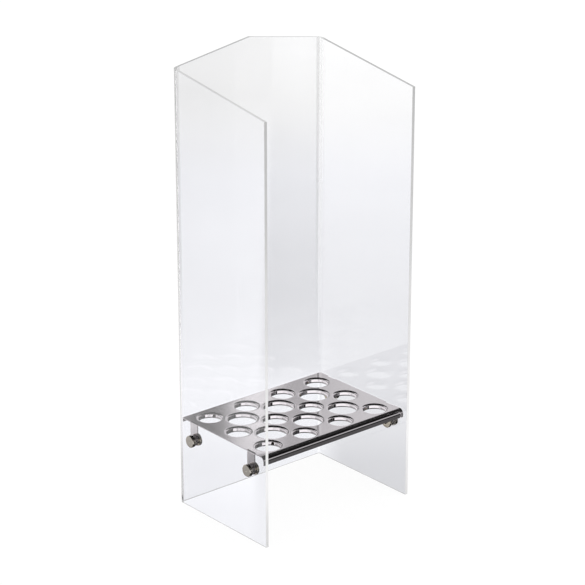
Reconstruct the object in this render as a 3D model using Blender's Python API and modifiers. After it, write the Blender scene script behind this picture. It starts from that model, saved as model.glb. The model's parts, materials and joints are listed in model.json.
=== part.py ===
"""Countertop holder for stacks of glasses and cones: a bent clear acrylic housing with a perforated steel tray.

Metres, +Z up. X runs across the holder, -Y is its open front, and the origin is the middle of its footprint.
"""

import math

import bmesh
import bpy
from mathutils import Vector
from mathutils.geometry import delaunay_2d_cdt

# Acrylic housing: one sheet bent at the two back corners
SHELL_WIDTH = 0.300
SHELL_DEPTH = 0.220
SHEET_T = 0.005
SHEET_BEND_R = 0.008  # outside radius of the two bends
SHEET_BEND_STEPS = 8  # facets in each bend
PEAK_HEIGHT = 0.750  # top edge at the middle of the back
GABLE_SLOPE = 1 / 6  # fall of the top edge along the sheet, from the peak to the front edges
SHEET_EDGE_BEVEL = 0.0004

# Steel tray
STEEL_T = 0.0015
TRAY_TOP_Z = 0.150
TRAY_SIDE_GAP = 0.0005  # between the tray and the housing
FRONT_SETBACK = 0.008  # from the housing's front edges to the tray's front face
FRONT_FLANGE_H = 0.0135
BACK_FLANGE_H = 0.008
STEEL_BEND_R = 0.0025  # outside radius of the back fold and the tabs
FRONT_BEND_R = 0.008  # outside radius of the front fold
BACK_CORNER_CUT = 0.0045  # clears the housing's bends

# Holes: a small one at each corner of a grid, a large one in the middle of each cell
HOLE_COLUMNS = 4
HOLE_ROWS = 3
HOLE_PITCH_X = 0.074
HOLE_PITCH_Y = 0.0715
SMALL_HOLE_R = 0.0188
LARGE_HOLE_R = 0.0233
LIP_R = 0.0030  # rounding of each hole's mouth
COLLAR_H = 0.0095  # drawn collar, from the tray's top face down
COLLAR_FLARE = 0.0008  # opening out of the collar's lower end
SMALL_SEGMENTS = 24
LARGE_SEGMENTS = 28
ARC_STEPS = 3  # facets in each rounded lip and folded edge

# Tabs that hang from the tray's sides and carry the fixings
TAB_WIDTH = 0.018
FIXING_DROP = 0.030  # from the tray's top face to the fixing's axis
RELIEF_WIDTH = 0.0012  # slot at each side of a tab's fold
RELIEF_DEPTH = 0.0045
TAB_ROOTS = (4, 12)  # where the front and back tab's folds start among the points of a side's outline
TAB_END_STEPS = 4  # rows in a tab's half-round end
TAB_END_ANGLE = math.radians(80)  # the end stops this far round, so its tip is not a point

# Fixings: cap and stud outside, thumb knob inside, a nylon washer under each
STUD_R = 0.003
CLEARANCE_R = 0.0033  # bores of the cap, washers and knob around the stud
HOLE_R = 0.0035  # holes in the acrylic and in the tabs
GAP = 0.0003  # air between neighbouring pieces
OUTER_WASHER_T = 0.0008
OUTER_WASHER_R = 0.009
INNER_WASHER_T = 0.0005
INNER_WASHER_R = 0.008
CAP_R = 0.010
CAP_T = 0.0055
CAP_BORE_DEPTH = 0.004
CAP_EDGE = 0.001
DIMPLE_R = 0.00125
DIMPLE_DEPTH = 0.0006
KNOB_R = 0.0105
KNOB_DISC_T = 0.0035
KNOB_NECK_R = 0.006
KNOB_NECK_T = 0.0025
KNOB_EDGE = 0.0006
STUD_INSET = 0.0006  # the stud's ends stop short of the cap's bore end and the knob's face
STUD_CHAMFER = 0.0005
TURNED_SEGMENTS = 24
CUTTER_REACH = 0.005  # of each cutter past the sheet it cuts
SMOOTH_ANGLE = math.radians(35)  # faces that meet at less than this are shaded as one round

SIDE_NAMES = {-1: "left", 1: "right"}

tray_front = -SHELL_DEPTH / 2 + FRONT_SETBACK
tray_back = SHELL_DEPTH / 2 - SHEET_T - TRAY_SIDE_GAP
tray_middle = (tray_front + tray_back) / 2
tray_half = SHELL_WIDTH / 2 - SHEET_T - TRAY_SIDE_GAP
fixing_z = TRAY_TOP_Z - FIXING_DROP
fixing_ys = {
    "front": tray_middle - HOLE_PITCH_Y,
    "back": tray_middle + HOLE_PITCH_Y,
}


def clear_scene():
    for obj in list(bpy.data.objects):
        bpy.data.objects.remove(obj, do_unlink=True)


def new_collection(name):
    collection = bpy.data.collections.new(name)
    bpy.context.scene.collection.children.link(collection)
    return collection


def new_material(name, colour, roughness, metallic, transmission=0.0):
    material = bpy.data.materials.new(name)
    material.use_nodes = True
    shader = material.node_tree.nodes["Principled BSDF"]
    shader.inputs["Base Color"].default_value = (*colour, 1.0)
    shader.inputs["Roughness"].default_value = roughness
    shader.inputs["Metallic"].default_value = metallic
    shader.inputs["Transmission Weight"].default_value = transmission
    material.diffuse_color = (*colour, 1.0)
    return material


def link_mesh(mesh, name, collection, material):
    mesh.name = name
    obj = bpy.data.objects.new(name, mesh)
    collection.objects.link(obj)
    if material:
        mesh.materials.append(material)
    return obj


def shade_round(obj):
    obj.data.shade_smooth()
    obj.data.set_sharp_from_angle(angle=SMOOTH_ANGLE)


def add_cutter(name, axis_start, axis_end, radius, collection):
    """A round cutter between two points."""
    start = Vector(axis_start)
    end = Vector(axis_end)
    bm = bmesh.new()
    bmesh.ops.create_cone(
        bm, cap_ends=True, segments=TURNED_SEGMENTS, radius1=radius, radius2=radius, depth=(end - start).length
    )
    mesh = bpy.data.meshes.new(name)
    bm.to_mesh(mesh)
    bm.free()
    obj = link_mesh(mesh, name, collection, None)
    obj.rotation_euler = (end - start).to_track_quat("Z", "Y").to_euler()
    obj.location = (start + end) / 2
    obj.hide_render = True
    obj.display_type = "WIRE"
    return obj


def cut_with(obj, cutter):
    modifier = obj.modifiers.new("cut_" + cutter.name, "BOOLEAN")
    modifier.operation = "DIFFERENCE"
    modifier.object = cutter


# ---------------------------------------------------------------- acrylic housing


def shell_path():
    """The housing's outer line seen from above, from the front left edge round to the front right edge."""
    half = SHELL_WIDTH / 2
    back = SHELL_DEPTH / 2
    points = [Vector((-half, -back))]
    for side, first_angle in ((-1, 180), (1, 90)):
        centre = Vector((side * (half - SHEET_BEND_R), back - SHEET_BEND_R))
        for step in range(SHEET_BEND_STEPS + 1):
            angle = math.radians(first_angle - 90 * step / SHEET_BEND_STEPS)
            points.append(centre + SHEET_BEND_R * Vector((math.cos(angle), math.sin(angle))))
        if side < 0:
            points.append(Vector((0, back)))
    points.append(Vector((half, -back)))
    return points


def make_shell(collection, material, cutters):
    """The sheet stands up as an open surface on its outer line, then gets its thickness inwards."""
    points = shell_path()
    lengths = [0.0]
    for start, end in zip(points, points[1:]):
        lengths.append(lengths[-1] + (end - start).length)
    middle = lengths[-1] / 2
    bm = bmesh.new()
    lower = []
    upper = []
    for point, length in zip(points, lengths):
        lower.append(bm.verts.new((point.x, point.y, 0)))
        upper.append(bm.verts.new((point.x, point.y, PEAK_HEIGHT - GABLE_SLOPE * abs(length - middle))))
    for i in range(len(points) - 1):
        bm.faces.new((lower[i + 1], lower[i], upper[i], upper[i + 1]))
    bmesh.ops.recalc_face_normals(bm, faces=bm.faces)
    mesh = bpy.data.meshes.new("acrylic_shell")
    bm.to_mesh(mesh)
    bm.free()
    obj = link_mesh(mesh, "acrylic_shell", collection, material)
    if mesh.polygons[0].normal.x > 0:
        mesh.flip_normals()
    solidify = obj.modifiers.new("sheet_thickness", "SOLIDIFY")
    solidify.thickness = SHEET_T
    solidify.offset = -1
    solidify.use_even_offset = True
    bevel = obj.modifiers.new("polished_edges", "BEVEL")
    bevel.width = SHEET_EDGE_BEVEL
    bevel.segments = 1
    bevel.limit_method = "ANGLE"
    bevel.angle_limit = math.radians(60)
    bevel.use_clamp_overlap = False
    for cutter in cutters:
        cut_with(obj, cutter)
    shade_round(obj)
    return obj


# ---------------------------------------------------------------- steel tray


def hole_pattern():
    """Centre, radius and segment count of every hole."""
    left = -(HOLE_COLUMNS - 1) * HOLE_PITCH_X / 2
    front = tray_middle - (HOLE_ROWS - 1) * HOLE_PITCH_Y / 2
    holes = []
    for row in range(HOLE_ROWS):
        for column in range(HOLE_COLUMNS):
            centre = Vector((left + column * HOLE_PITCH_X, front + row * HOLE_PITCH_Y))
            holes.append((centre, SMALL_HOLE_R, SMALL_SEGMENTS))
            if row < HOLE_ROWS - 1 and column < HOLE_COLUMNS - 1:
                cell_middle = centre + Vector((HOLE_PITCH_X, HOLE_PITCH_Y)) / 2
                holes.append((cell_middle, LARGE_HOLE_R, LARGE_SEGMENTS))
    return holes


def circle_points(centre, radius, segments):
    turns = [2 * math.pi * i / segments for i in range(segments)]
    return [centre + radius * Vector((math.cos(turn), math.sin(turn))) for turn in turns]


def side_outline(side):
    """The flat plate's edge along one side, front to back, with a relief slot at each side of a tab's fold."""
    edge = tray_half
    fold = tray_half - STEEL_BEND_R
    slot = tray_half - RELIEF_DEPTH
    front_fold = tray_front + FRONT_BEND_R
    back_fold = tray_back - STEEL_BEND_R
    points = [(edge, front_fold)]
    for y in (fixing_ys["front"], fixing_ys["back"]):
        root = TAB_WIDTH / 2
        outer = root + RELIEF_WIDTH
        points += [(edge, y - outer), (slot, y - outer), (slot, y - root), (fold, y - root)]
        points += [(fold, y + root), (slot, y + root), (slot, y + outer), (edge, y + outer)]
    points += [(edge, tray_back - BACK_CORNER_CUT), (edge - BACK_CORNER_CUT + STEEL_BEND_R, back_fold)]
    return [Vector((side * x, y)) for x, y in points]


def flat_plate(bm):
    """The tray's top face between its folds and the mouths of its holes; returns the vertices round each hole."""
    outline = side_outline(1) + side_outline(-1)[::-1]
    points = list(outline)
    edges = [(i, (i + 1) % len(outline)) for i in range(len(outline))]
    rims = []
    for centre, radius, segments in hole_pattern():
        first = len(points)
        points += circle_points(centre, radius + LIP_R, segments)
        edges += [(first + i, first + (i + 1) % segments) for i in range(segments)]
        rims.append(range(first, first + segments))
    coords, _, triangles, origins, _, _ = delaunay_2d_cdt(points, edges, [], 1, 1e-7)
    verts = [bm.verts.new((point.x, point.y, TRAY_TOP_Z)) for point in coords]
    placed = {source: verts[i] for i, sources in enumerate(origins) for source in sources}
    rim_verts = [{placed[i] for i in rim} for rim in rims]
    for triangle in triangles:
        corners = [verts[i] for i in triangle]
        middle = sum((coords[i] for i in triangle), Vector((0, 0))) / 3
        fills_a_hole = any(rim.issuperset(corners) for rim in rim_verts)
        if not fills_a_hole and inside_outline(middle, outline):
            bm.faces.new(corners)
    outline_verts = [placed[i] for i in range(len(outline))]
    return outline_verts, [[placed[i] for i in rim] for rim in rims]


def inside_outline(point, outline):
    inside = False
    for start, end in zip(outline, outline[1:] + outline[:1]):
        if (start.y > point.y) != (end.y > point.y):
            crossing = start.x + (point.y - start.y) * (end.x - start.x) / (end.y - start.y)
            inside ^= crossing > point.x
    return inside


def fold_down(bm, verts, outward, radius, drops):
    """Carries an edge over a quarter round and then down to each drop below the top face."""
    rows = []
    for step in range(1, ARC_STEPS + 1):
        angle = math.pi / 2 * step / ARC_STEPS
        rows.append((radius * math.sin(angle), radius * (1 - math.cos(angle)), 1.0))
    rows += [(radius, drop, width) for drop, width in drops]
    middle = sum((vert.co for vert in verts), Vector()) / len(verts)
    starts = [vert.co.copy() for vert in verts]
    last = verts
    for out, down, width in rows:
        following = []
        for start in starts:
            spread = (start - middle) * width
            following.append(bm.verts.new(middle + spread + outward * out - Vector((0, 0, down))))
        for i in range(len(verts) - 1):
            bm.faces.new((last[i], last[i + 1], following[i + 1], following[i]))
        last = following


def draw_collar(bm, rim, centre, radius):
    """Rounds a hole's mouth down into its straight wall, which opens out a little at its lower end."""
    rings = []
    for step in range(1, ARC_STEPS + 1):
        angle = math.pi / 2 * step / ARC_STEPS
        rings.append((radius + LIP_R * (1 - math.sin(angle)), LIP_R * (1 - math.cos(angle))))
    rings += [(radius, COLLAR_H - COLLAR_FLARE), (radius + COLLAR_FLARE, COLLAR_H)]
    last = rim
    for ring_radius, down in rings:
        following = []
        for point in circle_points(centre, ring_radius, len(rim)):
            following.append(bm.verts.new((point.x, point.y, TRAY_TOP_Z - down)))
        for i in range(len(rim)):
            j = (i + 1) % len(rim)
            bm.faces.new((last[i], last[j], following[j], following[i]))
        last = following


def tab_drops():
    """Depth and width of a tab at each row of its half-round end."""
    drops = []
    for step in range(TAB_END_STEPS):
        angle = TAB_END_ANGLE * step / (TAB_END_STEPS - 1)
        drops.append((FIXING_DROP + TAB_WIDTH / 2 * math.sin(angle), math.cos(angle)))
    return drops


def make_tray(collection, material, cutters):
    """The tray's outer skin is one open surface, then gets its thickness inwards."""
    bm = bmesh.new()
    outline, rims = flat_plate(bm)
    side_count = len(outline) // 2
    right = outline[:side_count]
    left = outline[side_count:][::-1]
    fold_down(bm, [left[0], right[0]], Vector((0, -1, 0)), FRONT_BEND_R, [(FRONT_FLANGE_H, 1.0)])
    fold_down(bm, [right[-1], left[-1]], Vector((0, 1, 0)), STEEL_BEND_R, [(BACK_FLANGE_H, 1.0)])
    for side, verts in ((1, right), (-1, left)):
        for first in TAB_ROOTS:
            root = [verts[first], verts[first + 1]][::side]
            fold_down(bm, root, Vector((side, 0, 0)), STEEL_BEND_R, tab_drops())
    for rim, (centre, radius, _) in zip(rims, hole_pattern()):
        draw_collar(bm, rim, centre, radius)
    bmesh.ops.recalc_face_normals(bm, faces=bm.faces)
    mesh = bpy.data.meshes.new("perforated_tray")
    bm.to_mesh(mesh)
    bm.free()
    obj = link_mesh(mesh, "perforated_tray", collection, material)
    top_face = max(mesh.polygons, key=lambda face: face.center.z)
    if top_face.normal.z < 0:
        mesh.flip_normals()
    solidify = obj.modifiers.new("steel_thickness", "SOLIDIFY")
    solidify.thickness = STEEL_T
    solidify.offset = -1
    solidify.use_even_offset = True
    for cutter in cutters:
        cut_with(obj, cutter)
    shade_round(obj)
    return obj


# ---------------------------------------------------------------- fixings


def turned_mesh(name, profile, closed):
    """A profile of (radius, height) points at +X, which runs down its outer side."""
    mesh = bpy.data.meshes.new(name)
    bm = bmesh.new()
    verts = [bm.verts.new((radius, 0, height)) for radius, height in profile]
    for start, end in zip(verts, verts[1:]):
        bm.edges.new((start, end))
    if closed:
        bm.edges.new((verts[-1], verts[0]))
    bm.to_mesh(mesh)
    bm.free()
    return mesh


def make_turned(name, profile, collection, material, location, side, closed):
    """A turned piece whose +Z points out of the housing's side and whose origin is on the fixing's axis."""
    obj = link_mesh(turned_mesh(name, profile, closed), name, collection, material)
    screw = obj.modifiers.new("turn", "SCREW")
    screw.axis = "Z"
    screw.steps = TURNED_SEGMENTS
    screw.render_steps = TURNED_SEGMENTS
    screw.use_merge_vertices = True
    screw.merge_threshold = 0.00005
    screw.use_smooth_shade = True
    obj.location = location
    obj.rotation_euler = (0, math.radians(90) * side, 0)
    return obj


def washer_profile(radius, thickness):
    return [
        (CLEARANCE_R, thickness),
        (radius, thickness),
        (radius, 0),
        (CLEARANCE_R, 0),
    ]


def cap_profile():
    """Blind bore from below, bevelled rim and a centre dimple on top."""
    return [
        (0, CAP_T - DIMPLE_DEPTH),
        (DIMPLE_R, CAP_T),
        (CAP_R - CAP_EDGE, CAP_T),
        (CAP_R, CAP_T - CAP_EDGE),
        (CAP_R, 0),
        (CLEARANCE_R, 0),
        (CLEARANCE_R, CAP_BORE_DEPTH),
        (0, CAP_BORE_DEPTH),
    ]


def knob_profile():
    """Neck against the washer at the top, disc at the bottom, bored through."""
    length = KNOB_NECK_T + KNOB_DISC_T
    return [
        (CLEARANCE_R, 0),
        (KNOB_NECK_R, 0),
        (KNOB_NECK_R, -KNOB_NECK_T),
        (KNOB_R - KNOB_EDGE, -KNOB_NECK_T),
        (KNOB_R, -KNOB_NECK_T - KNOB_EDGE),
        (KNOB_R, -length + KNOB_EDGE),
        (KNOB_R - KNOB_EDGE, -length),
        (CLEARANCE_R, -length),
    ]


def stud_profile(length):
    return [
        (0, length),
        (STUD_R - STUD_CHAMFER, length),
        (STUD_R, length - STUD_CHAMFER),
        (STUD_R, STUD_CHAMFER),
        (STUD_R - STUD_CHAMFER, 0),
        (0, 0),
    ]


def make_fixing(end, side, collection, materials):
    """Cap, outer washer, stud, inner washer and thumb knob on one axis through the housing and a tab."""
    label = end + "_" + SIDE_NAMES[side]
    y = fixing_ys[end]

    def at(distance):
        return (side * distance, y, fixing_z)

    outer_washer_at = SHELL_WIDTH / 2 + GAP
    cap_at = outer_washer_at + OUTER_WASHER_T + GAP
    inner_washer_top = tray_half - STEEL_T - GAP
    knob_top = inner_washer_top - INNER_WASHER_T - GAP
    knob_face = knob_top - KNOB_NECK_T - KNOB_DISC_T
    stud_from = knob_face + STUD_INSET
    stud_to = cap_at + CAP_BORE_DEPTH - STUD_INSET
    outer_washer = washer_profile(OUTER_WASHER_R, OUTER_WASHER_T)
    inner_washer = washer_profile(INNER_WASHER_R, INNER_WASHER_T)
    pieces = [
        ("cap", cap_profile(), "cap", cap_at, False),
        ("outer_washer", outer_washer, "washer", outer_washer_at, True),
        ("stud", stud_profile(stud_to - stud_from), "stud", stud_from, False),
        ("inner_washer", inner_washer, "washer", inner_washer_top - INNER_WASHER_T, True),
        ("thumb_knob", knob_profile(), "knob", knob_top, True),
    ]
    for piece, profile, finish, distance, closed in pieces:
        make_turned(f"{piece}_{label}", profile, collection, materials[finish], at(distance), side, closed)


def main():
    clear_scene()
    parts = new_collection("multi_glasses_organizer")
    helpers = new_collection("cutters")
    acrylic = new_material("clear_acrylic", (0.93, 0.93, 0.95), 0.05, 0.0, transmission=1.0)
    steel = new_material("polished_steel", (0.66, 0.65, 0.66), 0.15, 1.0)
    fixing_materials = {
        "cap": new_material("nickel_cap", (0.62, 0.59, 0.55), 0.18, 1.0),
        "knob": new_material("nickel_knob", (0.60, 0.57, 0.52), 0.18, 1.0),
        "stud": new_material("steel_stud", (0.50, 0.50, 0.50), 0.35, 1.0),
        "washer": new_material("nylon_washer", (0.80, 0.80, 0.78), 0.40, 0.0),
    }
    shell_cutters = []
    tray_cutters = []
    for side in SIDE_NAMES:
        for end, y in fixing_ys.items():
            label = end + "_" + SIDE_NAMES[side]
            wall_out = (side * (SHELL_WIDTH / 2 + CUTTER_REACH), y, fixing_z)
            wall_in = (side * (SHELL_WIDTH / 2 - SHEET_T - CUTTER_REACH), y, fixing_z)
            shell_cutters.append(add_cutter("shell_hole_" + label, wall_in, wall_out, HOLE_R, helpers))
            tab_in = (side * (tray_half - STEEL_T - CUTTER_REACH), y, fixing_z)
            tab_out = (side * (tray_half + CUTTER_REACH), y, fixing_z)
            tray_cutters.append(add_cutter("tab_hole_" + label, tab_in, tab_out, HOLE_R, helpers))
    make_shell(parts, acrylic, shell_cutters)
    make_tray(parts, steel, tray_cutters)
    for side in SIDE_NAMES:
        for end in fixing_ys:
            make_fixing(end, side, parts, fixing_materials)


main()
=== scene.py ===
"""Looks of the acrylic holder for stacks of glasses and cones.

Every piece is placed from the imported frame. Lengths are in metres.
"""

import json
import math

import bmesh
import bpy
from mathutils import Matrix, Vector
from mathutils.geometry import delaunay_2d_cdt


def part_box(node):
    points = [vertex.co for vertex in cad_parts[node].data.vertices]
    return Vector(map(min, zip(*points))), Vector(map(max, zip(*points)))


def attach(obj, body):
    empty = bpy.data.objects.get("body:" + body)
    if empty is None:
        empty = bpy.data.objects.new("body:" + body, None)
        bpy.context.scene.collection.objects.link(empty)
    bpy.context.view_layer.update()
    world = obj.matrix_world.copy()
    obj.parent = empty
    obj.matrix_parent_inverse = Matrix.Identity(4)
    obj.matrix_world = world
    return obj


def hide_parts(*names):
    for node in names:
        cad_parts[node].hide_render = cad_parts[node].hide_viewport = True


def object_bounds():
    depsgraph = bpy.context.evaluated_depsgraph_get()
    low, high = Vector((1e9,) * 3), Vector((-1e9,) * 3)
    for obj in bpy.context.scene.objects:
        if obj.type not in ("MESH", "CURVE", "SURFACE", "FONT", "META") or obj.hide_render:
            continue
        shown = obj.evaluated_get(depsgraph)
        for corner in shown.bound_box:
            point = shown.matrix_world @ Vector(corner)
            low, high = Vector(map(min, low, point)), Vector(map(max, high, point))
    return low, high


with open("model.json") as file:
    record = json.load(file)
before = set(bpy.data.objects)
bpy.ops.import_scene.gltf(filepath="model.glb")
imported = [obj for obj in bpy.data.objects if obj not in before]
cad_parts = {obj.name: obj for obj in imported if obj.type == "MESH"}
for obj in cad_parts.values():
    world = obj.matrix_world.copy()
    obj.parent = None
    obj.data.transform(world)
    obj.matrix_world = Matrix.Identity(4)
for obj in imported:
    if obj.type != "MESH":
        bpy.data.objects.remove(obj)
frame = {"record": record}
cad_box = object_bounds()

# Camera: the photograph's viewing angle on a long lens
VIEW_AZIMUTH = math.radians(-40.3)
VIEW_ELEVATION = math.radians(20.6)
VIEW_DISTANCE = 3.653
LENS_MM = 142.6
SENSOR_MM = 36
AIM_UP = 0.0066
AIM_RIGHT = -0.0024
AIM_HEIGHT = 0.350

# The acrylic sheet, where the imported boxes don't give it
SHEET_T = 0.005
SHEET_BEND_R = 0.008
SHEET_EDGE_BEVEL = 0.0004
ARRIS_ANGLE = math.radians(60)
GABLE_SLOPE = 1 / 6
BEND_STEPS = 24

# The steel tray, likewise
STEEL_T = 0.0015
FRONT_FOLD_R = 0.008
FOLD_R = 0.0025
FOLD_STEPS = 10
FRONT_FLANGE_H = 0.0135
BACK_FLANGE_H = 0.008
BACK_CORNER_CUT = 0.0045
SMALL_HOLE_R = 0.0188
LARGE_HOLE_R = 0.0233
HOLE_SEGMENTS = 64
LIP_R = 0.0030
LIP_STEPS = 7
MOUTH_RING = 0.0012  # flat ring round each mouth, which keeps the plate's shading level
COLLAR_H = 0.0095
CURL_R = 0.0026
CURL_TURN = math.radians(80)
CURL_STEPS = 5
TAB_WIDTH = 0.018
TAB_END_TURN = math.radians(84)  # short of 90 degrees, so that the tab's last row keeps a width
TAB_END_STEPS = 12
RELIEF_WIDTH = 0.0012
RELIEF_DEPTH = 0.0045

# The fixings' details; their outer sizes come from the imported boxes
FIXINGS = ("front_left", "back_left", "front_right", "back_right")
FIXING_HOLE_R = 0.0035
BORE_R = 0.0033
CAP_BORE_DEPTH = 0.004
CAP_CHAMFER = 0.0008
MARK_R = 0.0011
MARK_DEPTH = 0.0007
MARK_RING_R = 0.0016
MARK_RING_DEPTH = 0.0001
NECK_R = 0.006
NECK_LENGTH = 0.0025
NECK_ROUND = 0.0004
KNOB_ROUND = 0.0008
COUNTERSINK_R = 0.0045
COUNTERSINK_DEPTH = 0.0008
WASHER_ROUND = 0.00015
STUD_CHAMFER = 0.0005
RIM_ROUND = 0.0003
SOFT_ROUND = 0.0002
FINE_ROUND = 0.0001
ROUND_STEPS = 5
TURNED_STEPS = 64

# Mesh building
CUTTER_LENGTH = 0.03
CUTTER_SEGMENTS = 48
SMOOTH_ANGLE = math.radians(30)
INSIDE_ONLY = 1  # delaunay_2d_cdt's output type for triangles inside the outline
SAME_POINT = 1e-7
WELD_DISTANCE = 1e-6

# The sheet's cut edges: how matt they are, and how they are told from the polished faces
EDGE_SHARE = 0.9
FACES_UP = 0.5
FACES_DOWN = -0.2
FRONT_EDGE_DEPTH = 0.0006
# Painted light in the front edges' matt colour, by height: brighter low down, as the floor's light fades
# while it climbs inside the sheet
EDGE_PAINTED_LEVELS = (
    (0.0, 0.74),
    (0.05, 0.78),
    (0.11, 0.92),
    (0.27, 0.82),
    (0.40, 0.69),
    (0.56, 0.58),
    (0.67, 0.50),
    (0.75, 0.50),
)
# Painted light and shade in the top edge's matt colour: its brightness left and right of the middle, and
# how far from the middle it changes
TOP_BACK_PAINTED_LEVELS = (0.53, 0.67)
TOP_SIDE_PAINTED_LEVELS = (0.66, 0.54)
TOP_CHANGE = 0.02

# Painted light and shade at the two heated bends, as a milky matt band: it starts a little before them,
# painted duller there as a dark line, and fades out downwards
HAZE_BEFORE = 0.004
HAZE_BEFORE_SHARE = 0.18
HAZE_BEFORE_PAINTED_SHADE = 0.42
HAZE_SHARE = 0.25
HAZE_EDGE = 0.0004
HAZE_GONE = 0.20
HAZE_FULL = 0.50

# Light caught inside the sheet: it ends at this bounce, with a glow like the edges
TRAPPED_BOUNCE = 3.0
TRAPPED_LEVEL = 0.9

# Colours and finishes. A pair is mixed by noise
ACRYLIC_TINTS = ((0.945, 0.945, 0.950, 1), (0.970, 0.970, 0.975, 1))
ACRYLIC_IOR = 1.49
STEEL_TINTS = ((0.67, 0.635, 0.66, 1), (0.73, 0.695, 0.72, 1))
STEEL_ROUGHNESS = (0.05, 0.08)
NYLON_TINTS = ((0.42, 0.40, 0.37, 1), (0.52, 0.50, 0.46, 1))
NYLON_ROUGHNESS = (0.3, 0.5)
NYLON_CLEARNESS = 0.4
CAP_TINT = (0.52, 0.485, 0.44, 1)
CAP_ROUGHNESS = 0.15
KNOB_TINT = (0.50, 0.455, 0.385, 1)
KNOB_ROUGHNESS = 0.10
STUD_TINT = (0.42, 0.40, 0.37, 1)
STUD_ROUGHNESS = 0.25
MOTTLE_LEVEL = 0.9
MOTTLE_SMOOTHER = 0.03
MOTTLE_ROUGHER = 0.05

# Noise textures as (scale, detail), and bumps made from them as (height, strength)
SHEET_WAVE = (2.2, 1.0)
SHEET_BUMP = (0.0006, 0.5)
SMUDGE = (9.0, 3.0)
SMUDGE_RANGE = (0.3, 0.7)
SMUDGE_LEVELS = (0.95, 1.05)
STEEL_WAVE = (5.0, 1.0)
STEEL_BUMP = (0.0004, 0.3)
STEEL_GRAIN = (1.0, 2.0)
STEEL_GRAIN_STRETCH = (40, 900, 900)  # fine front to back, so the grain runs across the tray
METAL_MOTTLE = (900.0, 2.0)
NYLON_MOTTLE = (300.0, 3.0)
NOISE_RANGE = (0.2, 0.8)  # where most of a noise texture's values lie

# The room by its two level directions: away from the camera, and to its right
AWAY = (0.647, 0.763, 0.0)
ASIDE = (0.763, -0.647, 0.0)
UP = (0, 0, 1)

# What the holder mirrors, as (where, brightness). The wall behind it, by how far aside for each metre away:
WALL_STRIPS = (
    (-0.60, 1.00),
    (-0.45, 0.30),
    (-0.10, 0.30),
    (-0.060, 0.60),
    (-0.045, 0.12),
    (-0.033, 0.28),
    (-0.027, 0.95),
    (-0.018, 1.38),
    (-0.011, 1.02),
    (-0.002, 0.58),
    (0.003, 0.64),
    (0.014, 0.74),
    (0.028, 0.86),
    (0.30, 0.90),
)
LEAST_AWAY = 0.05
WALL_FADE = (-0.1, 0.3)  # by how far away the direction points
# Overhead and behind the camera, by the sine of the height
CEILING_STARTS = (0.43, 0.56)
CEILING_LEVEL = 0.03
WINDOW_FADE = (0.1, -0.1)
WINDOW_TOP = (0.34, 0.28)
WINDOW_LEVEL = 0.6
# Below the horizon, by the sine of how far down: the table's left side, and where the rest of it brightens
TABLE_LEFT = ((-0.60, 0.5), (-0.43, 0.4), (-0.418, 0.4), (-0.405, 0.9), (-0.39, 1.1), (0.0, 1.1))
TABLE_BRIGHTENS = (-0.54, -0.43)
TABLE_LEVELS = (0.06, 1.35)
HORIZON = (-0.02, 0.02)
# Where the left side and the shade lie, by the turn in radians from straight away to the right
SHADE_FROM = (0.17, 0.32)
SHADE_TO = (2.25, 2.10)
LEFT_FROM = (-0.17, -0.30)
LEFT_TO = (-2.2, -2.0)
# A patch in the shade is less dark
PATCH_TURN = 1.73
PATCH_REACH = 0.12
PATCH_DEPTH = (-0.30, -0.34)
SHADE_LEVELS = (0.015, 0.11)

# Painted shade: the floor's greys as the clear sheet shows it, by metres behind the holder: (where,
# brightness)
PAINTED_SHADE_LEFT = (
    (-0.3, 0.93),
    (-0.1, 1.00),
    (-0.04, 1.00),
    (0.05, 1.06),
    (0.2, 1.04),
    (0.6, 0.955),
    (0.9, 0.906),
    (1.02, 0.892),
    (1.27, 0.922),
    (1.69, 0.932),
    (2.0, 0.903),
    (2.18, 0.882),
    (2.4, 0.868),
    (2.56, 0.889),
    (2.8, 0.90),
)
PAINTED_SHADE_MIDDLE = (
    (-0.3, 0.93),
    (-0.1, 1.0),
    (0.12, 0.99),
    (0.3, 0.93),
    (0.48, 0.95),
    (0.57, 0.83),
    (0.8, 0.775),
    (0.91, 0.742),
    (1.02, 0.737),
    (1.18, 0.755),
    (1.4, 0.803),
    (1.69, 0.843),
    (2.06, 0.872),
    (2.43, 0.94),
    (2.56, 0.965),
    (2.8, 0.995),
)
PAINTED_SHADE_RIGHT = (
    (-0.3, 0.93),
    (-0.1, 0.66),
    (0.0, 0.68),
    (0.15, 0.71),
    (0.45, 0.76),
    (0.6, 0.78),
    (0.8, 0.765),
    (0.91, 0.752),
    (1.14, 0.78),
    (1.54, 0.832),
    (1.84, 0.86),
    (2.18, 0.885),
    (2.36, 0.905),
    (2.8, 0.94),
)
# From left to right, in metres aside: the painted shade's brightness, and where its three parts meet
PAINTED_SHADE_ACROSS = ((-0.28, 0.965), (-0.07, 1.02), (-0.05, 0.97), (0.03, 1.0), (0.3, 1.0))
LEFT_TO_MIDDLE = (-0.07, -0.05)
MIDDLE_TO_RIGHT = (0.03, 0.09)
# Painted tint of the shade seen through the sheet, and how it fades behind the holder
PAINTED_SHADE_TINT = (0.978, 0.985, 1.025, 1)
TINT_FADE = (2.4, 1.6)
CLOUD = (2.5, 2.0)
CLOUD_RANGE = (0.35, 0.65)
CLOUD_LEVELS = (-0.008, 0.008)

FLOOR_SIZE = 14
FLOOR_DROP = 0.0006  # keeps the floor clear of the sheet's lower edge
FLOOR_LEVEL = 0.93
FLOOR_GREY = (0.10, 0.10, 0.10, 1)
WHITE = (1, 1, 1, 1)


# ---------------------------------------------------------------- node helpers


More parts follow.
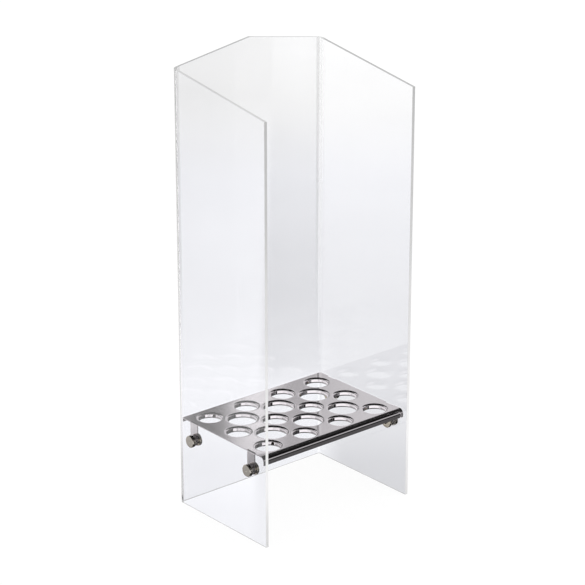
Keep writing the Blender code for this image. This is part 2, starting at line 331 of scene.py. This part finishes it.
class Tree:
    """Short names for building a node tree."""

    def __init__(self, tree):
        self.tree = tree
        tree.nodes.clear()

    def add(self, kind, **inputs):
        node = self.tree.nodes.new(kind)
        for key, value in inputs.items():
            self.put(node, key.replace("_", " "), value)
        return node

    def put(self, node, key, value):
        socket = node.inputs[key]
        if isinstance(value, bpy.types.NodeSocket):
            self.tree.links.new(value, socket)
        else:
            socket.default_value = value

    def math(self, operation, first, second=0.5, third=0.5):
        node = self.tree.nodes.new("ShaderNodeMath")
        node.operation = operation
        for index, value in enumerate((first, second, third)):
            self.put(node, index, value)
        return node.outputs[0]

    def dot(self, vector, other):
        node = self.tree.nodes.new("ShaderNodeVectorMath")
        node.operation = "DOT_PRODUCT"
        self.put(node, 0, vector)
        self.put(node, 1, other)
        return node.outputs["Value"]

    def span(self, value, low, high, out_low=0.0, out_high=1.0, kind="SMOOTHSTEP"):
        """Carries a value from between low and high to between out_low and out_high."""
        node = self.tree.nodes.new("ShaderNodeMapRange")
        node.interpolation_type = kind
        for key, number in (("Value", value), ("From Min", low), ("From Max", high)):
            self.put(node, key, number)
        self.put(node, "To Min", out_low)
        self.put(node, "To Max", out_high)
        return node.outputs["Result"]

    def between(self, factor, first, second):
        """The first number where factor is 0, the second where it is 1."""
        return self.span(factor, 0.0, 1.0, first, second, kind="LINEAR")

    def ramp(self, value, stops):
        """Level by stops of (value, level), which run over any range and reach any height."""
        low = stops[0][0]
        span = stops[-1][0] - low
        height = max(level for _, level in stops)
        node = self.tree.nodes.new("ShaderNodeValToRGB")
        elements = node.color_ramp.elements
        while len(elements) < len(stops):
            elements.new(1.0)
        for element, (place, _) in zip(elements, stops):
            element.position = (place - low) / span
        for element, (_, level) in zip(elements, stops):
            element.color = (level / height, level / height, level / height, 1)
        self.put(node, 0, self.math("DIVIDE", self.math("SUBTRACT", value, low), span))
        return self.math("MULTIPLY", node.outputs[0], height)

    def mix(self, factor, first, second):
        """Mixes two colours."""
        node = self.tree.nodes.new("ShaderNodeMix")
        node.data_type = "RGBA"
        self.put(node, 0, factor)
        self.put(node, 6, first)
        self.put(node, 7, second)
        return node.outputs[2]

    def mix_shaders(self, factor, first, second):
        node = self.tree.nodes.new("ShaderNodeMixShader")
        self.put(node, 0, factor)
        self.put(node, 1, first.outputs[0])
        self.put(node, 2, second.outputs[0])
        return node

    def show(self, shader, output="ShaderNodeOutputMaterial"):
        """Makes a shader the one that the material or the world shows."""
        self.tree.links.new(shader.outputs[0], self.tree.nodes.new(output).inputs["Surface"])

    def split(self, vector):
        node = self.tree.nodes.new("ShaderNodeSeparateXYZ")
        self.put(node, 0, vector)
        return node.outputs

    def grey(self, level):
        node = self.tree.nodes.new("ShaderNodeCombineColor")
        for index in range(3):
            self.put(node, index, level)
        return node.outputs[0]

    def noise(self, vector, scale, detail):
        node = self.tree.nodes.new("ShaderNodeTexNoise")
        for key, value in (("Vector", vector), ("Scale", scale), ("Detail", detail)):
            self.put(node, key, value)
        return node.outputs["Fac"]

    def position(self, stretch=(1, 1, 1)):
        coordinates = self.tree.nodes.new("ShaderNodeTexCoord").outputs["Object"]
        node = self.tree.nodes.new("ShaderNodeMapping")
        self.put(node, "Vector", coordinates)
        self.put(node, "Scale", stretch)
        return node.outputs["Vector"]

    def bump(self, height, distance, strength):
        node = self.tree.nodes.new("ShaderNodeBump")
        self.put(node, "Height", height)
        self.put(node, "Distance", distance)
        self.put(node, "Strength", strength)
        return node.outputs["Normal"]


def new_material(name):
    material = bpy.data.materials.new(name)
    material.use_nodes = True
    return material, Tree(material.node_tree)


# ---------------------------------------------------------------- finer pieces


def add_piece(bm, name):
    mesh = bpy.data.meshes.new(name)
    bm.to_mesh(mesh)
    bm.free()
    obj = bpy.data.objects.new(name, mesh)
    bpy.context.scene.collection.objects.link(obj)
    return obj


def settle(obj):
    """Applies the modifiers, then shades the rounds smooth while flat faces stay flat."""
    shaped = obj.evaluated_get(bpy.context.evaluated_depsgraph_get())
    mesh = bpy.data.meshes.new_from_object(shaped)
    obj.modifiers.clear()
    obj.data = mesh
    mesh.shade_smooth()
    mesh.set_sharp_from_angle(angle=SMOOTH_ANGLE)
    weighted = obj.modifiers.new("weighted_normals", "WEIGHTED_NORMAL")
    weighted.keep_sharp = True


def stand_for(obj, node, material):
    """Gives a piece its material and lets it stand for its CAD node, on the same body."""
    bodies = frame["record"]["behaviour"]["bodies"]
    body = next(name for name, members in bodies.items() if node in members)
    obj.data.materials.clear()
    obj.data.materials.append(material)
    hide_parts(node)
    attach(obj, body)


def fixing_centre(label):
    low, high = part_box("stud_" + label)
    return (low + high) / 2


def thicken(obj, thickness):
    modifier = obj.modifiers.new("thickness", "SOLIDIFY")
    modifier.thickness = thickness
    modifier.offset = -1
    modifier.use_even_offset = True


def drill(obj, radius):
    """Cuts the four fixings' holes through a piece, each with its own round cutter."""
    cutters = []
    for label in FIXINGS:
        bm = bmesh.new()
        bmesh.ops.create_cone(
            bm,
            cap_ends=True,
            segments=CUTTER_SEGMENTS,
            radius1=radius,
            radius2=radius,
            depth=CUTTER_LENGTH,
        )
        cutter = add_piece(bm, "cutter_" + label)
        cutter.rotation_euler = (0, math.pi / 2, 0)
        cutter.location = fixing_centre(label)
        modifier = obj.modifiers.new("hole_" + label, "BOOLEAN")
        modifier.operation = "DIFFERENCE"
        modifier.object = cutter
        cutters.append(cutter)
    bpy.context.view_layer.update()
    settle(obj)
    for cutter in cutters:
        bpy.data.objects.remove(cutter, do_unlink=True)


def half_line():
    """The sheet's outer line from above, from the middle of the back round to the front right edge."""
    low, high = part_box("acrylic_shell")
    centre = Vector((high.x - SHEET_BEND_R, high.y - SHEET_BEND_R))
    points = [Vector((0, high.y))]
    for step in range(BEND_STEPS + 1):
        turn = math.pi / 2 * (1 - step / BEND_STEPS)
        points.append(centre + SHEET_BEND_R * Vector((math.cos(turn), math.sin(turn))))
    points.append(Vector((high.x, low.y)))
    return points


def make_sheet():
    """One bent sheet: its outer face stands on the line, its top falls both ways from the peak."""
    low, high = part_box("acrylic_shell")
    right = half_line()
    along = [0.0]
    for start, end in zip(right, right[1:]):
        along.append(along[-1] + (end - start).length)
    right = list(zip(right, along))
    left = [(Vector((-point.x, point.y)), length) for point, length in right[:0:-1]]
    bm = bmesh.new()
    lower = []
    upper = []
    for point, length in left + right:
        lower.append(bm.verts.new((point.x, point.y, low.z)))
        upper.append(bm.verts.new((point.x, point.y, high.z - GABLE_SLOPE * length)))
    for i in range(len(lower) - 1):
        bm.faces.new((lower[i], upper[i], upper[i + 1], lower[i + 1]))
    sheet = add_piece(bm, "bent_acrylic_sheet")
    thicken(sheet, SHEET_T)
    arris = sheet.modifiers.new("polished_arris", "BEVEL")
    arris.width = SHEET_EDGE_BEVEL
    arris.segments = 2
    arris.limit_method = "ANGLE"
    arris.angle_limit = ARRIS_ANGLE
    arris.use_clamp_overlap = False
    drill(sheet, FIXING_HOLE_R)
    return sheet


def round_points(centre, radius):
    turns = [2 * math.pi * i / HOLE_SEGMENTS for i in range(HOLE_SEGMENTS)]
    return [centre + radius * Vector((math.cos(turn), math.sin(turn))) for turn in turns]


def tray_holes():
    """Centre and radius of each hole, from the openings that the record states."""
    holes = []
    for opening in frame["record"]["physics"]["openings"]:
        radius = {"small": SMALL_HOLE_R, "large": LARGE_HOLE_R}.get(opening["name"].split("_")[0])
        if radius:
            near, far = opening["box_m"]
            holes.append((Vector(((near[0] + far[0]) / 2, (near[1] + far[1]) / 2)), radius))
    return holes


def tray_side(side, low, high):
    """The plate's edge along one side, front to back, with a relief slot at each side of a tab's fold."""
    fold = high.x - FOLD_R
    slot = high.x - RELIEF_DEPTH
    points = [(high.x, low.y + FRONT_FOLD_R)]
    for end in ("front", "back"):
        y = fixing_centre(end + "_right").y
        root = TAB_WIDTH / 2
        outer = root + RELIEF_WIDTH
        points += [(high.x, y - outer), (slot, y - outer), (slot, y - root), (fold, y - root)]
        points += [(fold, y + root), (slot, y + root), (slot, y + outer), (high.x, y + outer)]
    points.append((high.x, high.y - BACK_CORNER_CUT))
    points.append((high.x - BACK_CORNER_CUT + FOLD_R, high.y - FOLD_R))
    return [Vector((side * x, y)) for x, y in points]


def is_inside(point, outline):
    inside = False
    for start, end in zip(outline, outline[1:] + outline[:1]):
        if (start.y > point.y) != (end.y > point.y):
            crossing = start.x + (point.y - start.y) * (end.x - start.x) / (end.y - start.y)
            inside ^= crossing > point.x
    return inside


def tray_plate(bm, outline, top):
    """The flat top between the folds and the holes' mouths.

    Returns the vertices round it, and those round each hole.
    """
    points = list(outline)
    edges = [(i, (i + 1) % len(outline)) for i in range(len(outline))]
    rims = []
    for centre, radius in tray_holes():
        first = len(points)
        points += round_points(centre, radius + LIP_R + MOUTH_RING)
        edges += [(first + i, first + (i + 1) % HOLE_SEGMENTS) for i in range(HOLE_SEGMENTS)]
        rims.append(range(first, first + HOLE_SEGMENTS))
    coords, _, triangles, origins, _, _ = delaunay_2d_cdt(points, edges, [], INSIDE_ONLY, SAME_POINT)
    verts = [bm.verts.new((point.x, point.y, top)) for point in coords]
    placed = {source: verts[i] for i, sources in enumerate(origins) for source in sources}
    rim_verts = [{placed[i] for i in rim} for rim in rims]
    for triangle in triangles:
        corners = [verts[i] for i in triangle]
        middle = sum((coords[i] for i in triangle), Vector((0, 0))) / 3
        fills_a_hole = any(rim.issuperset(corners) for rim in rim_verts)
        if not fills_a_hole and is_inside(middle, outline):
            bm.faces.new(corners)
    return [placed[i] for i in range(len(outline))], [[placed[i] for i in rim] for rim in rims]


def fold_down(bm, verts, outward, radius, drops):
    """Carries an edge over a quarter round and then down, to each (drop below the top face, width)."""
    rows = []
    for step in range(1, FOLD_STEPS + 1):
        turn = math.pi / 2 * step / FOLD_STEPS
        rows.append((radius * math.sin(turn), radius * (1 - math.cos(turn)), 1.0))
    rows += [(radius, drop, width) for drop, width in drops]
    middle = sum((vert.co for vert in verts), Vector()) / len(verts)
    starts = [vert.co.copy() for vert in verts]
    last = verts
    for out, down, width in rows:
        row = [bm.verts.new(middle + (start - middle) * width + outward * out) for start in starts]
        for vert in row:
            vert.co.z -= down
        for i in range(len(verts) - 1):
            bm.faces.new((last[i], last[i + 1], row[i + 1], row[i]))
        last = row


def draw_collar(bm, rim, centre, radius, top):
    """Rounds a hole's mouth down into its wall, whose lower end curls outwards."""
    rings = []
    for step in range(LIP_STEPS + 1):
        turn = math.pi / 2 * step / LIP_STEPS
        rings.append((radius + LIP_R * (1 - math.sin(turn)), LIP_R * (1 - math.cos(turn))))
    for step in range(CURL_STEPS + 1):
        turn = CURL_TURN * step / CURL_STEPS
        rings.append((radius + CURL_R * (1 - math.cos(turn)), COLLAR_H - CURL_R * (1 - math.sin(turn))))
    last = rim
    for ring_radius, down in rings:
        ring = [bm.verts.new((p.x, p.y, top - down)) for p in round_points(centre, ring_radius)]
        for i in range(len(rim)):
            j = (i + 1) % len(rim)
            bm.faces.new((last[i], last[j], ring[j], ring[i]))
        last = ring


def make_tray():
    """The tray pressed from one sheet: plate, flanges, four tabs and a drawn collar at every hole."""
    low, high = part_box("perforated_tray")
    outline = tray_side(1, low, high) + tray_side(-1, low, high)[::-1]
    bm = bmesh.new()
    edge, rims = tray_plate(bm, outline, high.z)
    count = len(edge) // 2
    right = edge[:count]
    left = edge[count:][::-1]
    drop = high.z - fixing_centre(FIXINGS[0]).z
    tab_rows = []
    for step in range(TAB_END_STEPS):
        turn = TAB_END_TURN * step / (TAB_END_STEPS - 1)
        tab_rows.append((drop + TAB_WIDTH / 2 * math.sin(turn), math.cos(turn)))
    fold_down(bm, [left[0], right[0]], Vector((0, -1, 0)), FRONT_FOLD_R, [(FRONT_FLANGE_H, 1.0)])
    fold_down(bm, [right[-1], left[-1]], Vector((0, 1, 0)), FOLD_R, [(BACK_FLANGE_H, 1.0)])
    for side, verts in ((1, right), (-1, left)):
        for first in (4, 12):  # each tab's fold in the points of tray_side
            fold_down(bm, verts[first : first + 2][::side], Vector((side, 0, 0)), FOLD_R, tab_rows)
    for rim, (centre, radius) in zip(rims, tray_holes()):
        draw_collar(bm, rim, centre, radius, high.z)
    bmesh.ops.recalc_face_normals(bm, faces=bm.faces)
    if max(bm.faces, key=lambda face: face.calc_center_median().z).normal.z < 0:
        bmesh.ops.reverse_faces(bm, faces=bm.faces)
    tray = add_piece(bm, "pressed_steel_tray")
    thicken(tray, STEEL_T)
    drill(tray, FIXING_HOLE_R)
    return tray


def rounded(corners):
    """An outline of (radius, height, rounding) with each rounded corner drawn as a short curve."""
    points = []
    for i, (radius, height, rounding) in enumerate(corners):
        here = Vector((radius, height))
        if not rounding:
            points.append(here)
            continue
        before = Vector(corners[i - 1][:2]) - here
        after = Vector(corners[(i + 1) % len(corners)][:2]) - here
        start = here + rounding * before.normalized()
        end = here + rounding * after.normalized()
        for step in range(ROUND_STEPS + 1):
            t = step / ROUND_STEPS
            points.append((1 - t) ** 2 * start + 2 * t * (1 - t) * here + t**2 * end)
    return points


def turn_outline(name, corners):
    """A turned piece. An outline that starts on the axis ends there, and any other closes into a ring."""
    outline = rounded(corners)
    bm = bmesh.new()
    verts = [bm.verts.new((point.x, 0, point.y)) for point in outline]
    edges = [bm.edges.new(pair) for pair in zip(verts, verts[1:])]
    if outline[0].x > 0:
        edges.append(bm.edges.new((verts[-1], verts[0])))
    full_turn = 2 * math.pi
    bmesh.ops.spin(bm, geom=verts + edges, axis=UP, angle=full_turn, steps=TURNED_STEPS, use_merge=True)
    bmesh.ops.remove_doubles(bm, verts=bm.verts, dist=WELD_DISTANCE)
    bmesh.ops.recalc_face_normals(bm, faces=bm.faces)
    return add_piece(bm, name)


def cap_corners(radius, length):
    """Centre mark with a shallow turned ring round it, chamfered rim and blind bore."""
    return [
        (0, length - MARK_DEPTH, 0),
        (MARK_R, length - MARK_RING_DEPTH, SOFT_ROUND),
        (MARK_RING_R, length, FINE_ROUND),
        (radius - CAP_CHAMFER, length, RIM_ROUND),
        (radius, length - CAP_CHAMFER, RIM_ROUND),
        (radius, 0, RIM_ROUND),
        (BORE_R, 0, 0),
        (BORE_R, CAP_BORE_DEPTH, 0),
        (0, CAP_BORE_DEPTH, 0),
    ]


def knob_corners(radius, length):
    """A neck on a round-edged disc, with a countersunk bore through both."""
    disc = length - NECK_LENGTH
    return [
        (BORE_R, length, SOFT_ROUND),
        (NECK_R, length, RIM_ROUND),
        (NECK_R, disc, NECK_ROUND),
        (radius, disc, KNOB_ROUND),
        (radius, 0, KNOB_ROUND),
        (COUNTERSINK_R, 0, RIM_ROUND),
        (BORE_R, COUNTERSINK_DEPTH, SOFT_ROUND),
    ]


def washer_corners(radius, length):
    edge = min(WASHER_ROUND, length / 3)
    return [(BORE_R, length, edge), (radius, length, edge), (radius, 0, edge), (BORE_R, 0, edge)]


def stud_corners(radius, length):
    return [
        (0, length, 0),
        (radius - STUD_CHAMFER, length, FINE_ROUND),
        (radius, length - STUD_CHAMFER, FINE_ROUND),
        (radius, STUD_CHAMFER, FINE_ROUND),
        (radius - STUD_CHAMFER, 0, FINE_ROUND),
        (0, 0, 0),
    ]


def make_fixing(label, materials):
    """The five turned pieces of one fixing, each where its CAD node is."""
    kinds = (
        ("cap", cap_corners, "nickel_plate"),
        ("outer_washer", washer_corners, "clear_nylon"),
        ("stud", stud_corners, "zinc_steel"),
        ("inner_washer", washer_corners, "clear_nylon"),
        ("thumb_knob", knob_corners, "nickel_plate"),
    )
    side = -1 if label.endswith("left") else 1
    for kind, corners, slot in kinds:
        node = f"{kind}_{label}"
        low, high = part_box(node)
        middle = (low + high) / 2
        piece = turn_outline("turned_" + node, corners((high.z - low.z) / 2, high.x - low.x))
        piece.location = (low.x if side > 0 else high.x, middle.y, middle.z)
        piece.rotation_euler = (0, math.pi / 2 * side, 0)
        settle(piece)
        stand_for(piece, node, materials[kind])


# ---------------------------------------------------------------- materials


def cut_faces(tree, facing_up, along, front):
    """One on the sheet's cut faces and nought elsewhere: its top edge, its bottom edge, and all edges."""
    top = tree.math("GREATER_THAN", facing_up, FACES_UP)
    bottom = tree.math("LESS_THAN", facing_up, FACES_DOWN)
    forward = tree.math("LESS_THAN", along, front + FRONT_EDGE_DEPTH)
    return top, bottom, tree.math("MAXIMUM", tree.math("MAXIMUM", top, bottom), forward)


def clear_acrylic():
    """Clear polished sheet, slightly grey in its depth, with matt sawn edges and milky bends, whose matt
    colour carries painted light and shade.
    """
    material, tree = new_material("clear_acrylic")
    low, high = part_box("acrylic_shell")
    place = tree.position()
    across, along, up = tree.split(place)
    wave = tree.noise(place, *SHEET_WAVE)
    smudge = tree.noise(place, *SMUDGE)
    polished = tree.add("ShaderNodeBsdfPrincipled", Roughness=0.0, IOR=ACRYLIC_IOR, Transmission_Weight=1.0)
    tree.put(polished, "Base Color", tree.mix(smudge, *ACRYLIC_TINTS))
    tree.put(polished, "Normal", tree.bump(wave, *SHEET_BUMP))

    # Where the edges are, and the painted light and shade of each
    geometry = tree.add("ShaderNodeNewGeometry")
    facing_up = tree.dot(geometry.outputs["True Normal"], UP)
    top_edge, bottom_edge, edge = cut_faces(tree, facing_up, along, low[1])
    behind = tree.math("SUBTRACT", along, high[1] - SHEET_BEND_R)
    at_back = tree.math("GREATER_THAN", behind, 0.0)
    # Painted light and shade along the top edge, lighter on one side of the middle than the other
    painted_back_top = tree.span(across, -TOP_CHANGE, TOP_CHANGE, *TOP_BACK_PAINTED_LEVELS)
    painted_side_top = tree.span(across, -TOP_CHANGE, TOP_CHANGE, *TOP_SIDE_PAINTED_LEVELS)
    painted_top_level = tree.between(at_back, painted_side_top, painted_back_top)
    # Painted light: the edges' matt colour is brighter low down, and differs left and right along the top
    painted_edge_level = tree.between(top_edge, tree.ramp(up, EDGE_PAINTED_LEVELS), painted_top_level)
    painted_edge_level = tree.math("MAXIMUM", painted_edge_level, bottom_edge)

    # The bends' haze: its share of the surface, and its brightness with a painted dark strip before each
    # bend
    outside = tree.math("SUBTRACT", tree.math("ABSOLUTE", across), high[0] - SHEET_BEND_R)
    near_bend = tree.math("GREATER_THAN", outside, -HAZE_BEFORE)
    bend = tree.math("MULTIPLY", near_bend, at_back)
    # Painted shade: the haze is duller in a strip just before each bend
    painted_haze_level = tree.span(outside, -HAZE_EDGE, HAZE_EDGE, HAZE_BEFORE_PAINTED_SHADE, 1.0)
    haze = tree.span(outside, -HAZE_EDGE, HAZE_EDGE, HAZE_BEFORE_SHARE, HAZE_SHARE)
    haze = tree.math("MULTIPLY", tree.math("MULTIPLY", haze, bend), tree.span(up, HAZE_GONE, HAZE_FULL))

    # Matt places scatter light, on the outside as from a surface and on the inside through it
    level = tree.between(edge, painted_haze_level, painted_edge_level)
    level = tree.math("MULTIPLY", level, tree.span(smudge, *SMUDGE_RANGE, *SMUDGE_LEVELS))
    outer = tree.add("ShaderNodeBsdfDiffuse", Color=tree.grey(level))
    inner = tree.add("ShaderNodeBsdfTranslucent", Color=tree.grey(level))
    matt = tree.mix_shaders(geometry.outputs["Backfacing"], outer, inner)
    matt_share = tree.math("MAXIMUM", tree.math("MULTIPLY", edge, EDGE_SHARE), haze)
    surface = tree.mix_shaders(matt_share, polished, matt)

    # Light caught inside the sheet would take endless bounces, so a late one glows in their place
    bounces = tree.add("ShaderNodeLightPath").outputs["Glossy Depth"]
    glow_level = tree.grey(tree.math("MULTIPLY", painted_edge_level, TRAPPED_LEVEL))
    glow = tree.add("ShaderNodeEmission", Color=glow_level)
    is_trapped = tree.math("COMPARE", bounces, TRAPPED_BOUNCE, 0.1)
    tree.show(tree.mix_shaders(is_trapped, surface, glow))
    return material


def polished_steel():
    """Bright steel with a faint grain across the tray and a slight unevenness."""
    material, tree = new_material("polished_steel")
    wave = tree.noise(tree.position(), *STEEL_WAVE)
    grain = tree.noise(tree.position(STEEL_GRAIN_STRETCH), *STEEL_GRAIN)
    shader = tree.add("ShaderNodeBsdfPrincipled", Metallic=1.0)
    tree.put(shader, "Base Color", tree.mix(grain, *STEEL_TINTS))
    tree.put(shader, "Roughness", tree.span(grain, *NOISE_RANGE, *STEEL_ROUGHNESS))
    tree.put(shader, "Normal", tree.bump(wave, *STEEL_BUMP))
    tree.show(shader)
    return material


def turned_metal(name, tint, roughness):
    """Plated or zinced metal with a very fine mottle."""
    material, tree = new_material(name)
    mottle = tree.noise(tree.position(), *METAL_MOTTLE)
    darker = (*(MOTTLE_LEVEL * channel for channel in tint[:3]), 1)
    smoother = roughness - MOTTLE_SMOOTHER
    rougher = roughness + MOTTLE_ROUGHER
    shader = tree.add("ShaderNodeBsdfPrincipled", Metallic=1.0)
    tree.put(shader, "Base Color", tree.mix(mottle, tint, darker))
    tree.put(shader, "Roughness", tree.span(mottle, *NOISE_RANGE, smoother, rougher))
    tree.show(shader)
    return material


def clear_nylon():
    """Cloudy plastic that lets some light through."""
    material, tree = new_material("clear_nylon")
    mottle = tree.noise(tree.position(), *NYLON_MOTTLE)
    shader = tree.add("ShaderNodeBsdfPrincipled", Transmission_Weight=NYLON_CLEARNESS)
    tree.put(shader, "Base Color", tree.mix(mottle, *NYLON_TINTS))
    tree.put(shader, "Roughness", tree.span(mottle, *NOISE_RANGE, *NYLON_ROUGHNESS))
    tree.show(shader)
    return material


# ---------------------------------------------------------------- studio


def reflected_only(tree):
    """One for rays that have bounced off something glossy, nought for what the camera sees directly."""
    path = tree.add("ShaderNodeLightPath")
    return tree.math("GREATER_THAN", path.outputs["Glossy Depth"], 0.5)


def room_above(tree, away, aside, height):
    """The lit wall behind the holder, the dark ceiling, and a soft light behind the camera."""
    strips = tree.ramp(tree.math("DIVIDE", aside, tree.math("MAXIMUM", away, LEAST_AWAY)), WALL_STRIPS)
    wall = tree.math("MULTIPLY", strips, tree.span(away, *WALL_FADE))
    wall = tree.math("MULTIPLY", wall, tree.span(height, *CEILING_STARTS, 1.0, CEILING_LEVEL))
    window = tree.span(height, *WINDOW_TOP, 0.0, WINDOW_LEVEL)
    return tree.math("MAXIMUM", wall, tree.math("MULTIPLY", tree.span(away, *WINDOW_FADE), window))


def room_below(tree, away, aside, height):
    """The table: dark close under the holder, bright beyond, less so on the left, in shade on the right."""
    turn = tree.math("ARCTAN2", aside, away)
    left_side = tree.math("MULTIPLY", tree.span(turn, *LEFT_FROM), tree.span(turn, *LEFT_TO))
    shade = tree.math("MULTIPLY", tree.span(turn, *SHADE_FROM), tree.span(turn, *SHADE_TO))
    table = tree.span(height, *TABLE_BRIGHTENS, *TABLE_LEVELS)
    table = tree.between(left_side, table, tree.ramp(height, TABLE_LEFT))
    patch = tree.math("COMPARE", turn, PATCH_TURN, PATCH_REACH)
    patch = tree.math("MULTIPLY", patch, tree.span(height, *PATCH_DEPTH))
    return tree.between(shade, table, tree.span(patch, 0.0, 1.0, *SHADE_LEVELS))


def make_world():
    """White all round to the eye, and the room in reflections."""
    world = bpy.data.worlds.new("studio")
    bpy.context.scene.world = world
    world.use_nodes = True
    tree = Tree(world.node_tree)
    direction = tree.add("ShaderNodeTexCoord").outputs["Generated"]
    away = tree.dot(direction, AWAY)
    aside = tree.dot(direction, ASIDE)
    height = tree.dot(direction, UP)
    above = room_above(tree, away, aside, height)
    below = room_below(tree, away, aside, height)
    level = tree.span(height, *HORIZON, below, above)
    reflections = tree.add("ShaderNodeBackground", Color=WHITE, Strength=level)
    backdrop = tree.add("ShaderNodeBackground", Color=WHITE, Strength=1.0)
    tree.show(tree.mix_shaders(reflected_only(tree), backdrop, reflections), "ShaderNodeOutputWorld")


def make_floor():
    """A pale floor. The clear sheet shows it in soft greys of painted shade, and reflections look past it
    into the room.
    """
    bpy.ops.mesh.primitive_plane_add(size=FLOOR_SIZE, location=(0, 0, cad_box[0][2] - FLOOR_DROP))
    floor = bpy.context.object
    floor.name = "floor"
    material, tree = new_material("pale_floor")
    place = tree.add("ShaderNodeNewGeometry").outputs["Position"]
    behind = tree.dot(place, AWAY)
    aside = tree.dot(place, ASIDE)
    cloud = tree.noise(place, *CLOUD)
    # Painted shade that only the sheet shows: greys by place on the floor
    left = tree.ramp(behind, PAINTED_SHADE_LEFT)
    middle = tree.ramp(behind, PAINTED_SHADE_MIDDLE)
    grey = tree.span(aside, *MIDDLE_TO_RIGHT, middle, tree.ramp(behind, PAINTED_SHADE_RIGHT))
    grey = tree.span(aside, *LEFT_TO_MIDDLE, left, grey)
    grey = tree.math("MULTIPLY", grey, tree.ramp(aside, PAINTED_SHADE_ACROSS))
    grey = tree.math("ADD", grey, tree.span(cloud, *CLOUD_RANGE, *CLOUD_LEVELS))

    # Seen through the sheet it takes the painted shade's greys, but as light for matt surfaces it stays
    # even
    path = tree.add("ShaderNodeLightPath")
    through_sheet = tree.math("GREATER_THAN", path.outputs["Transmission Depth"], 0.5)
    through_sheet = tree.math("SUBTRACT", through_sheet, path.outputs["Is Diffuse Ray"])
    through_sheet = tree.math("MAXIMUM", through_sheet, 0.0)
    tinted = tree.math("MULTIPLY", through_sheet, tree.span(behind, *TINT_FADE))
    glow = tree.add("ShaderNodeEmission", Strength=tree.between(through_sheet, FLOOR_LEVEL, grey))
    tree.put(glow, "Color", tree.mix(tinted, WHITE, PAINTED_SHADE_TINT))
    diffuse = tree.add("ShaderNodeBsdfDiffuse", Color=FLOOR_GREY)
    lit = tree.add("ShaderNodeAddShader")
    tree.put(lit, 0, glow.outputs[0])
    tree.put(lit, 1, diffuse.outputs[0])
    clear = tree.add("ShaderNodeBsdfTransparent")
    tree.show(tree.mix_shaders(reflected_only(tree), lit, clear))
    floor.data.materials.append(material)


def make_camera():
    toward = Vector(
        (
            math.sin(VIEW_AZIMUTH) * math.cos(VIEW_ELEVATION),
            -math.cos(VIEW_AZIMUTH) * math.cos(VIEW_ELEVATION),
            math.sin(VIEW_ELEVATION),
        )
    )
    rotation = toward.to_track_quat("Z", "Y")
    right = rotation @ Vector((1, 0, 0))
    up = rotation @ Vector((0, 1, 0))
    aim = Vector((0, 0, AIM_HEIGHT)) + AIM_RIGHT * right + AIM_UP * up
    camera = bpy.data.objects.new("camera", bpy.data.cameras.new("camera"))
    bpy.context.scene.collection.objects.link(camera)
    camera.data.lens = LENS_MM
    camera.data.sensor_width = SENSOR_MM
    camera.location = aim + toward * VIEW_DISTANCE
    camera.rotation_euler = rotation.to_euler()
    bpy.context.scene.camera = camera


def main():
    nylon = clear_nylon()
    materials = {
        "cap": turned_metal("nickel_cap", CAP_TINT, CAP_ROUGHNESS),
        "outer_washer": nylon,
        "stud": turned_metal("stud_steel", STUD_TINT, STUD_ROUGHNESS),
        "inner_washer": nylon,
        "thumb_knob": turned_metal("nickel_knob", KNOB_TINT, KNOB_ROUGHNESS),
    }
    stand_for(make_sheet(), "acrylic_shell", clear_acrylic())
    stand_for(make_tray(), "perforated_tray", polished_steel())
    for label in FIXINGS:
        make_fixing(label, materials)
    make_world()
    make_floor()
    make_camera()
    bpy.context.scene.view_settings.view_transform = "Standard"


main()
